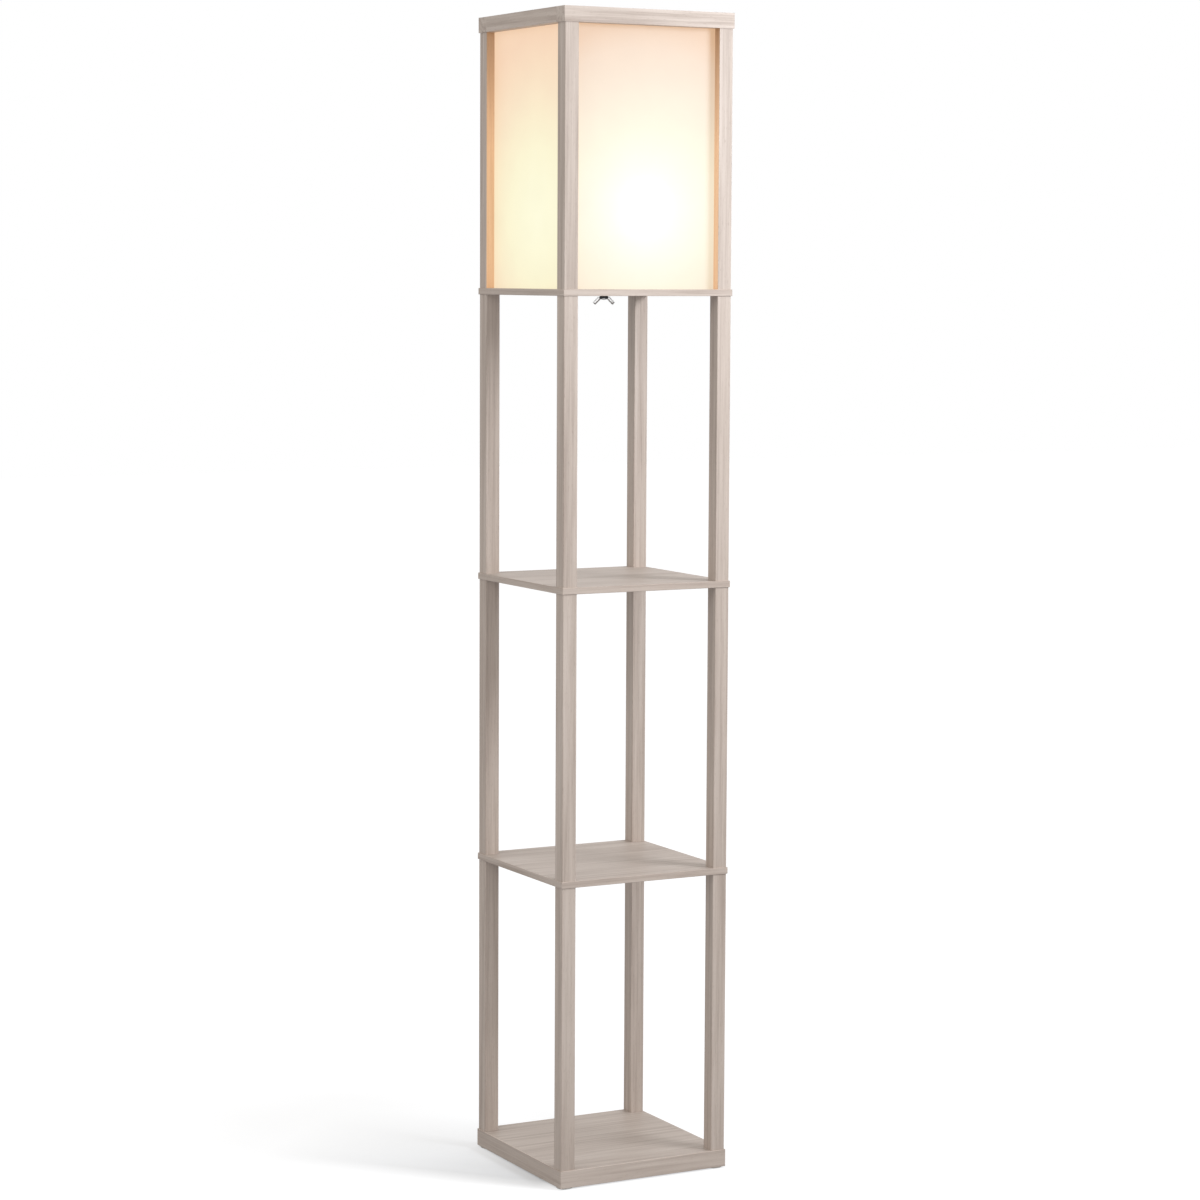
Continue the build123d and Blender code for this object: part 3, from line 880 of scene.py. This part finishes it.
def arc(centre: Pair, radius: float, start: float, end: float, steps: int = 6) -> Outline:
    """Points on an arc, in an outline's plane.

    Args:
        centre: Its centre.
        radius: Its radius.
        start: The first point's angle, in degrees.
        end: The last point's angle, in degrees.
        steps: Facets along it.

    Returns:
        The points, ends included.
    """
    turns = [math.radians(start + (end - start) * n / steps) for n in range(steps + 1)]
    return [(centre[0] + radius * math.cos(t), centre[1] + radius * math.sin(t)) for t in turns]


@dataclass(frozen=True)
class Thread:
    """A right-hand screw thread, between two heights of an upright wall.

    It has so many rings of points a turn, and fades out at its ends over a share of the pitch.
    """

    pitch: float
    depth: float
    low: float
    high: float
    rings: int = 10
    sharp: bool = False
    runout: float = 0.6

    def wall(self, radius: float) -> Outline:
        """Closely spaced outline points on the wall that the thread is formed in, from low to high."""
        count = round((self.high - self.low) / self.pitch * self.rings)
        return [(radius, self.low + (self.high - self.low) * n / count) for n in range(count + 1)]

    def dip(self, turn: float, height: float) -> float:
        """How far the wall goes in at a place.

        Args:
            turn: The place's angle as a share of a full turn.
            height: Its height.

        Returns:
            The distance from the crest, in metres.
        """
        phase = (height / self.pitch - turn) % 1.0
        wave = abs(2 * phase - 1) if self.sharp else 0.5 + 0.5 * math.cos(math.tau * phase)
        share = min(height - self.low, self.high - height) / (self.runout * self.pitch)
        return self.depth * (1 - wave) * min(max(share, 0.0), 1.0)

    def form(self, piece: Piece, crest: float) -> None:
        """Forms the thread in a piece turned about the lamp's axis.

        Args:
            piece: The piece, with rings where wall() put them.
            crest: The radius of the innermost wall that gets the thread.
        """
        for vertex in piece.data.vertices:
            x, y, height = vertex.co
            radius = math.hypot(x, y)
            if radius < crest - HAIR or not self.low <= height <= self.high:
                continue
            turn = math.atan2(y, x) / math.tau
            share = 1 - self.dip(turn, height) / radius
            vertex.co.x, vertex.co.y = x * share, y * share


# ---- Sub-assemblies
class SubAssembly:
    """A part of the lamp that builds its own meshes and dresses them.

    Each finish is made once, when it is first worn, and then kept in one wardrobe for all.
    """

    wardrobe: ClassVar[dict[Finish, bpy.types.Material]] = {}

    def build(self) -> None:
        """Builds and dresses every piece."""
        raise NotImplementedError

    def dress(self, piece: Piece, finish: Finish) -> None:
        """Puts a finish on every slot of a piece.

        Args:
            piece: A mesh object.
            finish: What it wears.
        """
        if finish not in self.wardrobe:
            self.wardrobe[finish] = finish.material()
        if not piece.material_slots:
            piece.data.materials.append(None)
        for slot in piece.material_slots:
            slot.material = self.wardrobe[finish]

    def dress_nodes(self, finishes: dict[str, Finish]) -> None:
        """Dresses carried-over CAD nodes.

        Args:
            finishes: Node names and what they wear.
        """
        for node, finish in finishes.items():
            self.dress(NODES[node], finish)
            log.info("%s wears %s", node, finish.name)

    def install(self, piece: Piece, finish: Finish, node: str, body: str = "root") -> None:
        """Dresses a new piece and puts it in its CAD node's place.

        Args:
            piece: The new piece.
            finish: What it wears.
            node: The CAD node that it stands for.
            body: The CAD body that it moves with.
        """
        self.dress(piece, finish)
        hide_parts(node)
        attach(piece, body)
        log.info("%s made, %d faces, in place of %s", piece.name, len(piece.data.polygons), node)


@dataclass
class Tower(SubAssembly):
    """The boards and posts, wrapped in printed foil, whose shapes are the CAD model's own."""

    def build(self) -> None:
        """Dresses boards, edge bands, posts and the cap's rails."""
        boards = {node: BOARD_GRAIN for node in ("base_board", "lower_shelf", "upper_shelf", "lamp_platform")}
        banded = ("base", "lower_shelf", "upper_shelf", "platform")
        bands = {f"{board}_edge_bands": BAND_GRAIN for board in banded}
        posts = {f"{tier}_post_{corner}": POST_GRAIN[tier] for tier in TIERS for corner in CORNERS}
        rails = {f"cap_{side}_rail": LONG_RAIL_GRAIN for side in SIDES[:2]}
        rails |= {f"cap_{side}_rail": SIDE_RAIL_GRAIN for side in SIDES[2:]}
        self.dress_nodes(boards | posts | rails | bands)


@dataclass
class KnockDownFittings(SubAssembly):
    """What holds the tower together, inside the posts and the cap."""

    def build(self) -> None:
        """Dresses the bolts, studs, inserts and dowels."""
        steel = {node: ZINC for node in ("base_bolts", "joining_studs", "post_inserts", "cap_bolts")}
        self.dress_nodes(steel | {"cap_dowels": BEECH})


def four_of(name: str, outline: Outline, reach: float) -> Piece:
    """Turns a piece at each corner of a square, so far from its middle, and joins the four."""
    places = [(sx * reach, sy * reach) for sx in (-1, 1) for sy in (-1, 1)]
    return joined([turned(name, outline, x, y, 48) for x, y in places])


@dataclass
class FootPads(SubAssembly):
    """Four round pads under the base, with rounded rims and a dished tread."""

    radius: float = 11.0 * MM
    rim: float = 0.7 * MM
    dish: float = 0.35 * MM
    dish_radius: float = 7.5 * MM

    def build(self) -> None:
        """Makes the pads."""
        _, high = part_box("foot_pads")
        top = high.z
        outline = [
            (0.0, self.dish),
            (self.dish_radius - MM, self.dish),
            (self.dish_radius, 0.0),
            *arc((self.radius - self.rim, self.rim), self.rim, -90, 0, 4),
            (self.radius, top),
            (0.0, top),
        ]
        pads = four_of("foot_pads_moulded", outline, high.x - self.radius)
        self.install(pads, PAD_RUBBER, "foot_pads")


@dataclass
class CapPlugs(SubAssembly):
    """Four plugs over the cap's bolts, each a shallow dome inside a fine rim."""

    rim: float = 0.9 * MM
    groove: float = 0.25 * MM
    crown: float = 0.05 * MM
    round_over: float = 0.35 * MM

    def build(self) -> None:
        """Makes the plugs."""
        low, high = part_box("cap_plugs")
        corner = middle("lamp_post_back_right").x
        radius = (high.x - low.x - 2 * corner) / 2
        bottom, top = low.z, high.z
        groove_radius = radius - self.rim
        outline = [
            (0.0, bottom),
            (radius, bottom),
            *arc((radius - self.round_over, top - self.round_over), self.round_over, 0, 90, 4),
            (groove_radius, top),
            (groove_radius - self.groove, top - self.groove),
            (groove_radius - 2 * self.groove, top - self.crown),
            (groove_radius / 2, top - self.crown / 5),
            (0.0, top),
        ]
        self.install(four_of("cap_plugs_moulded", outline, corner), PLUG_PLASTIC, "cap_plugs")


@dataclass
class ShadePanels(SubAssembly):
    """The four translucent sheets of the lantern."""

    def build(self) -> None:
        """Dresses the sheets: the front and back ones get the brightest painted glow of the bulb's light."""
        sheets = {f"shade_panel_{side}": FRONT_SHEET for side in SIDES[:2]}
        sheets |= {f"shade_panel_{side}": SIDE_SHEET for side in SIDES[2:]}
        self.dress_nodes(sheets)


@dataclass
class Lampholder(SubAssembly):
    """The holder on the platform: cup, ribbed sleeve, ceramic core, threaded shell and contacts.

    The shell stays plain as far as the thread's ends say, at its foot and its lip.
    """

    thread_crest: float = 13.25 * MM
    thread_depth: float = 0.8 * MM
    thread_ends: Pair = (1.5 * MM, 0.8 * MM)
    wall: float = 0.4 * MM
    foot: float = 9.0 * MM
    foot_bend: float = 0.6 * MM
    flare: float = 0.3 * MM

    def build(self) -> None:
        """Forms the screw shell and dresses the rest."""
        low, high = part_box("holder_screw_shell")
        start, end = self.thread_ends
        thread = Thread(BulbCap.pitch, self.thread_depth, low.z + start, high.z - end)
        inside, outside, floor = self.thread_crest, self.thread_crest + self.wall, low.z + self.wall
        outline = [
            (self.foot, low.z),
            (outside - self.foot_bend, low.z),
            (outside, low.z + self.foot_bend),
            *thread.wall(outside),
            (outside + self.flare, high.z),
            (inside + self.flare, high.z),
            *reversed(thread.wall(inside)),
            (inside, floor + self.wall),
            (inside - self.wall, floor),
            (self.foot, floor),
            (self.foot, low.z),
        ]
        shell = turned("screw_shell_threaded", outline)
        thread.form(shell, self.thread_crest)
        self.install(settle(shell), BRASS, "holder_screw_shell")
        self.dress_nodes({
            "holder_cup": HOLDER_PLASTIC,
            "holder_sleeve": HOLDER_PLASTIC,
            "holder_core": CERAMIC,
            "holder_centre_contact": BRASS,
            "holder_terminal_screws": ZINC,
            "holder_cord_bush": RUBBER,
        })


@dataclass
class HolderBolt(SubAssembly):
    """The bolt that hangs through the platform: a hexagon head over a threaded shank."""

    radius: float = 2.95 * MM
    pitch: float = 1.0 * MM
    thread_depth: float = 0.5 * MM
    head_across_corners: float = 11.5 * MM
    head_height: float = 4.0 * MM
    head_bevel: float = 0.5 * MM

    def build(self) -> None:
        """Threads the shank, bevels the head and joins them."""
        low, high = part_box("holder_bolt")
        face = high.z - self.head_height
        ends = (low.z + self.thread_depth, face - self.pitch)
        thread = Thread(self.pitch, self.thread_depth, *ends, rings=6, sharp=True)
        shank_outline = [
            (0.0, low.z),
            (self.radius - self.thread_depth, low.z),
            *thread.wall(self.radius),
            (self.radius, face + self.head_bevel),
            (0.0, face + self.head_bevel),
        ]
        shank = turned("holder_bolt_threaded", shank_outline, steps=40)
        thread.form(shank, self.radius)
        head = primitive(
            bpy.ops.mesh.primitive_cylinder_add,
            vertices=6,
            radius=self.head_across_corners / 2,
            depth=self.head_height,
            location=(0, 0, face + self.head_height / 2),
        )
        with editing(head):
            select_faces(head, lambda side: side.normal.z > 0.5)
            bpy.ops.mesh.inset(thickness=self.head_bevel)
        soften(head, self.head_bevel / 2)
        bolt = joined([shank, settle(head)])
        self.install(settle(bolt), ZINC, "holder_bolt")


@dataclass
class NutWasher(SubAssembly):
    """The flat washer over the wing nut, with its rims rolled over by the punch."""

    bore: float = 3.3 * MM
    radius: float = 6.5 * MM
    rim: float = 0.3 * MM

    def build(self) -> None:
        """Turns the washer."""
        low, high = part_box("nut_washer")
        outline = [
            (self.bore, low.z + self.rim / 2),
            (self.bore + self.rim / 2, low.z),
            *arc((self.radius - self.rim, low.z + self.rim), self.rim, -90, 0, 4),
            *arc((self.radius - self.rim, high.z - self.rim), self.rim, 0, 90, 4),
            (self.bore + self.rim / 2, high.z),
            (self.bore, high.z - self.rim / 2),
            (self.bore, low.z + self.rim / 2),
        ]
        self.install(turned("washer_punched", outline), DARK_WASHER, "nut_washer", "nut_washer")


@dataclass
class WingNut(SubAssembly):
    """The pressed wing nut under the platform: a tapered hub and two rimmed wings with an eye each.

    Sizes are from the nut's top face and axis, before it is turned to the way that its wings stand. The
    wing's corners and its eye are in millimetres.
    """

    bore: float = 3.05 * MM
    hub_radius: float = 5.7 * MM
    hub_foot: float = 4.2 * MM
    hub_height: float = 4.5 * MM
    hub_straight: float = 0.42
    hub_edge: float = 0.3 * MM
    wing: tuple[Pair, ...] = ((3.9, -1.0), (7.6, -0.6), (15.5, -8.8), (11.9, -12.3), (3.9, -4.0))
    thickness: float = 2.5 * MM
    broad: float = 10 * MM * MM
    rim: float = 0.8 * MM
    slope: float = 0.5 * MM
    pressed: float = 0.75 * MM
    wing_edge: float = 0.35 * MM
    eye: Point = (9.6, 0.0, -5.9)
    eye_radius: float = 0.85 * MM
    turn: float = WING_TURN

    def hub(self, top: float) -> Piece:
        """Turns the hub.

        Args:
            top: The height of the nut's top face.

        Returns:
            The hub.
        """
        foot, edge = top - self.hub_height, self.hub_edge
        outline = [
            (self.bore + edge, top),
            *arc((self.hub_radius - edge, top - edge), edge, 90, 0, 3),
            (self.hub_radius, top - self.hub_straight * self.hub_height),
            *arc((self.hub_foot - edge, foot + edge), edge, 0, -90, 3),
            (self.bore + edge, foot),
            (self.bore, foot + edge),
            (self.bore, top - edge),
            (self.bore + edge, top),
        ]
        return turned("wing_nut_pressed", outline, steps=48)

    def is_broad(self, face: bmesh.types.BMFace, way: int) -> bool:
        """Whether a face is the wing's broad one to the back, for a way of 1, or to the front, for -1."""
        return face.normal.y * way > 0.9 and face.calc_area() > self.broad

    def one_wing(self, top: float) -> Piece:
        """Presses one wing: a plate whose two faces are inset and pushed in, then rounded and pierced.

        Args:
            top: The height of the nut's top face.

        Returns:
            The wing.
        """
        half = self.thickness / 2
        corners = [(x * MM, -half, top + z * MM) for x, z in self.wing]
        wing = plate("wing", corners, (0, self.thickness, 0))
        with editing(wing):
            for way in (-1, 1):
                select_faces(wing, partial(self.is_broad, way=way))
                bpy.ops.mesh.inset(thickness=self.rim)
                bpy.ops.mesh.inset(thickness=self.slope, depth=-self.pressed)
        soften(wing, self.wing_edge, 3)
        settle(wing)
        x, y, z = self.eye
        drill = primitive(
            bpy.ops.mesh.primitive_cylinder_add,
            vertices=24,
            radius=self.eye_radius,
            depth=2 * self.thickness,
            location=(x * MM, y * MM, top + z * MM),
            rotation=(math.pi / 2, 0, 0),
        )
        apply_modifier(wing, "BOOLEAN", operation="DIFFERENCE", object=settle(drill))
        bpy.data.objects.remove(drill)
        return settle(wing)

    def build(self) -> None:
        """Makes the hub and both wings and turns them to their stand."""
        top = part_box("wing_nut")[1].z
        hub = self.hub(top)
        right = self.one_wing(top)
        left = copied(right, "left_wing", Matrix.Rotation(math.pi, 4, "Z"))
        nut = joined([hub, right, left])
        nut.data.transform(Matrix.Rotation(self.turn, 4, "Z"))
        self.install(settle(nut), BRIGHT_NUT, "wing_nut", "wing_nut")


@dataclass
class CordGrommet(SubAssembly):
    """The rubber grommet in the platform, with full round lips."""

    bore: float = 3.5 * MM
    waist: float = 4.95 * MM
    lip: float = 7.5 * MM
    lip_height: float = 1.5 * MM

    def build(self) -> None:
        """Turns the grommet round the cord hole's axis."""
        low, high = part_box("cord_grommet")
        axis = middle("cord_grommet")
        bead = self.lip_height / 2
        bottom, top = low.z + bead, high.z - bead
        outline = [
            *arc((self.lip - bead, bottom), bead, -90, 90),
            (self.waist, bottom + bead),
            (self.waist, top - bead),
            *arc((self.lip - bead, top), bead, -90, 90),
            *arc((self.bore + bead, top), bead, 90, 180),
            *arc((self.bore + bead, bottom), bead, 180, 270),
            (self.lip - bead, bottom - bead),
        ]
        self.install(turned("grommet_moulded", outline, axis.x, axis.y, 48), RUBBER, "cord_grommet")


@dataclass
class BulbCap(SubAssembly):
    """The bulb's screw cap, with its rolled thread and a plain collar crimped to the housing.

    The cap stays plain as far as the thread's ends say, at its foot and its collar.
    """

    pitch: float = 3.629 * MM
    crest: float = 13.0 * MM
    thread_depth: float = 0.8 * MM
    thread_ends: Pair = (2.2 * MM, 3.4 * MM)
    foot: float = 10.6 * MM
    foot_cone: Pair = (0.7 * MM, 1.4 * MM)
    crimp: float = 0.6 * MM

    def build(self) -> None:
        """Turns the cap and forms its thread in step with the holder's shell."""
        low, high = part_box("bulb_cap")
        start, end = self.thread_ends
        thread = Thread(self.pitch, self.thread_depth, low.z + start, high.z - end)
        outline = [
            (0.0, low.z),
            (self.foot, low.z),
            (self.crest - self.foot_cone[0], low.z + self.foot_cone[1]),
            *thread.wall(self.crest),
            (self.crest, high.z - 2 * self.crimp),
            *arc((self.crest - self.crimp, high.z - self.crimp), self.crimp, 0, 90, 4),
            (0.0, high.z),
        ]
        cap = turned("bulb_cap_threaded", outline)
        thread.form(cap, self.crest)
        self.install(settle(cap), CAP_METAL, "bulb_cap", "bulb")


@dataclass
class Bulb(SubAssembly):
    """The bulb's glowing dome, white housing, black insulator and solder tip.

    The tip's outline is a share of its radius and a height in millimetres at each point.
    """

    radius: float = 30.0 * MM
    wall: float = 1.5 * MM
    tip: tuple[Pair, ...] = ((0.0, 0.0), (0.45, 0.12), (0.8, 0.45), (1.0, 1.0))

    def build(self) -> None:
        """Turns the dome and the domed tip, and dresses the rest."""
        low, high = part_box("bulb_globe")
        centre = high.z - self.radius
        seam = math.degrees(math.asin((low.z - centre) / self.radius))
        inner = self.radius - self.wall
        inner_seam = math.degrees(math.asin((low.z - centre) / inner))
        outline = [
            *arc((0.0, centre), self.radius, seam, 90, 28),
            *arc((0.0, centre), inner, 90, inner_seam, 28),
        ]
        outline.append(outline[0])
        outline = [(max(radius, 0.0), height) for radius, height in outline]
        dome = turned("bulb_dome_opal", outline, steps=72)
        self.install(dome, OPAL, "bulb_globe", "bulb")
        low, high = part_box("bulb_contact")
        tip_radius = (high.x - low.x) / 2
        tip = [(share * tip_radius, low.z + height * MM) for share, height in self.tip]
        tip += [(tip_radius, high.z), (0.0, high.z)]
        self.install(turned("solder_tip", tip, steps=40), SOLDER, "bulb_contact", "bulb_foot")
        self.dress_nodes({"bulb_housing": BULB_WHITE, "bulb_insulator": BULB_BLACK})


# ---- Studio
@dataclass(frozen=True)
class Softbox:
    """A square panel of soft light."""

    name: str
    place: Point
    aim: Point
    size: float
    power: float
    tint: Colour = WHITE

    def build(self) -> None:
        """Hangs the panel at its place, turned to its aim."""
        light = bpy.data.lights.new(self.name, "AREA")
        light.shape = "SQUARE"
        light.size = self.size
        light.energy = self.power
        light.color = self.tint
        lamp = bpy.data.objects.new(self.name, light)
        bpy.context.scene.collection.objects.link(lamp)
        lamp.location = self.place
        lamp.rotation_euler = (Vector(self.aim) - Vector(self.place)).to_track_quat("-Z", "Y").to_euler()
        lamp.visible_camera = False


@dataclass(frozen=True)
class BaseShadow:
    """A soft shadow painted on the floor beside the base, which runs out away from the key light."""

    corner: Pair = (-0.13, -0.13)
    heading: float = math.radians(133)
    length: float = 0.46
    start: Pair = (-0.02, 0.04)
    near_side: Pair = (-0.01, 0.04)
    far_side: Pair = (0.36, 0.08)
    depth: float = 0.40

    def darkness(self, recipe: Recipe, x: Socket, y: Socket) -> Socket:
        """How much the painted shadow darkens the floor.

        Args:
            recipe: The floor's recipe.
            x: The place on the floor.
            y: The place on the floor.

        Returns:
            The difference.
        """
        right = recipe.maths("SUBTRACT", x, self.corner[0])
        back = recipe.maths("SUBTRACT", y, self.corner[1])
        cos, sin = math.cos(self.heading), math.sin(self.heading)
        along = recipe.maths("MULTIPLY_ADD", right, cos, recipe.maths("MULTIPLY", back, sin))
        aside = recipe.maths("MULTIPLY_ADD", right, sin, recipe.maths("MULTIPLY", back, -cos))
        dark = recipe.span(along, (0.0, self.length), (self.depth, 0.0))
        for place, edge in ((along, self.start), (aside, self.near_side), (aside, self.far_side)):
            dark = recipe.maths("MULTIPLY", dark, recipe.span(place, edge, UNIT))
        return dark


@dataclass
class Studio:
    """A white floor, three soft lights and a camera at the photograph's place."""

    camera_place: Point = (-2.1566, -4.0433, 1.249)
    yaw: float = 0.4892
    pitch: float = -0.0916
    roll: float = 0.0046
    lens_mm: float = 98.96
    sensor_mm: float = 36.0
    shift_y: float = -0.0208
    ambient: Colour = (0.68, 0.655, 0.62)
    softboxes: tuple[Softbox, ...] = (
        Softbox("key_light", (0.95, -1.15, 1.75), (0.0, 0.0, 1.3), 0.6, 19.0, (0.98, 1.0, 1.03)),
        Softbox("high_fill", (-1.8, -1.0, 2.3), (0.0, 0.0, 1.4), 1.0, 6.0, (1.03, 1.0, 0.96)),
        Softbox("low_fill", (-0.5, -2.4, 0.7), (0.0, 0.0, 0.7), 1.2, 5.5),
    )
    floor_size: float = 30.0
    floor_tone: float = 0.42
    floor_tint: Colour = (0.97, 1.0, 1.05)
    floor_lift: Pair = (0.69, 0.76)
    lift_reach: Pair = (0.5, 1.4)
    # Where the floor's lift fades out under the base: painted shade in the gap.
    contact: Pair = (0.108, 0.128)
    base_shadow: BaseShadow = BaseShadow()

    def floor(self) -> None:
        """A pale floor that keeps the lamp's shadow near it and is plain white further off; a shadow beside
        the base and the dark gap under it are painted.
        """
        plane = primitive(bpy.ops.mesh.primitive_plane_add, size=self.floor_size, location=(0, 0, 0))
        plane.name = plane.data.name = "studio_floor"
        recipe = Recipe("studio_floor")
        x, y, _ = recipe.axes()
        lift = recipe.span(recipe.maths("SQRT", recipe.squares(x, y)), self.lift_reach, self.floor_lift)
        edge = recipe.maths("MAXIMUM", recipe.maths("ABSOLUTE", x), recipe.maths("ABSOLUTE", y))
        # Painted shadow beside the base, and painted shade under the base, where the lift falls to nothing.
        lift = recipe.maths("SUBTRACT", lift, self.base_shadow.darkness(recipe, x, y))
        lift = recipe.maths("MULTIPLY", lift, recipe.span(edge, self.contact, UNIT))
        recipe.set(
            Base_Color=shade(self.floor_tone, self.floor_tint),
            Roughness=0.9,
            Specular_IOR_Level=0.0,
            Emission_Color=WHITE,
            Emission_Strength=recipe.maths("MULTIPLY", lift, recipe.seen()),
        )
        plane.data.materials.append(recipe.material)

    def world(self) -> None:
        """An even, slightly warm light that shows as white behind the lamp and in its metal."""
        world = bpy.data.worlds.new("studio_world")
        bpy.context.scene.world = world
        world.use_nodes = True
        sky = NodeTree(world.node_tree)
        sky.wire(sky.tree.nodes["Background"], Color=sky.mix(sky.seen(), self.ambient, WHITE))

    def camera(self) -> None:
        """The camera, at the place, angle and lens that the lamp's edges in the photograph fit."""
        ahead = Vector((
            math.sin(self.yaw) * math.cos(self.pitch),
            math.cos(self.yaw) * math.cos(self.pitch),
            math.sin(self.pitch),
        ))
        right = Vector((math.cos(self.yaw), -math.sin(self.yaw), 0.0))
        up = right.cross(ahead)
        x_axis = right * math.cos(self.roll) + up * math.sin(self.roll)
        y_axis = up * math.cos(self.roll) - right * math.sin(self.roll)
        turn = Matrix((x_axis, y_axis, -ahead)).transposed()
        lens = bpy.data.cameras.new("camera")
        lens.sensor_width = self.sensor_mm
        lens.lens = self.lens_mm
        lens.shift_y = self.shift_y
        lens.clip_end = 100.0
        camera = bpy.data.objects.new("camera", lens)
        bpy.context.scene.collection.objects.link(camera)
        camera.matrix_world = Matrix.Translation(self.camera_place) @ turn.to_4x4()
        bpy.context.scene.camera = camera

    def build(self) -> None:
        """Sets up the floor, the light, the camera and the plain view."""
        self.floor()
        self.world()
        for softbox in self.softboxes:
            softbox.build()
        self.camera()
        bpy.context.scene.view_settings.view_transform = "Standard"
        log.info("studio ready")


def main() -> None:
    """Builds the lamp's sub-assemblies in order, then the studio."""
    logging.basicConfig(level=logging.INFO, format="%(name)s: %(message)s")
    sub_assemblies: tuple[SubAssembly, ...] = (
        Tower(),
        KnockDownFittings(),
        FootPads(),
        CapPlugs(),
        ShadePanels(),
        Lampholder(),
        HolderBolt(),
        NutWasher(),
        WingNut(),
        CordGrommet(),
        BulbCap(),
        Bulb(),
    )
    for sub_assembly in sub_assemblies:
        sub_assembly.build()
    Studio().build()


if __name__ == "__main__":
    main()
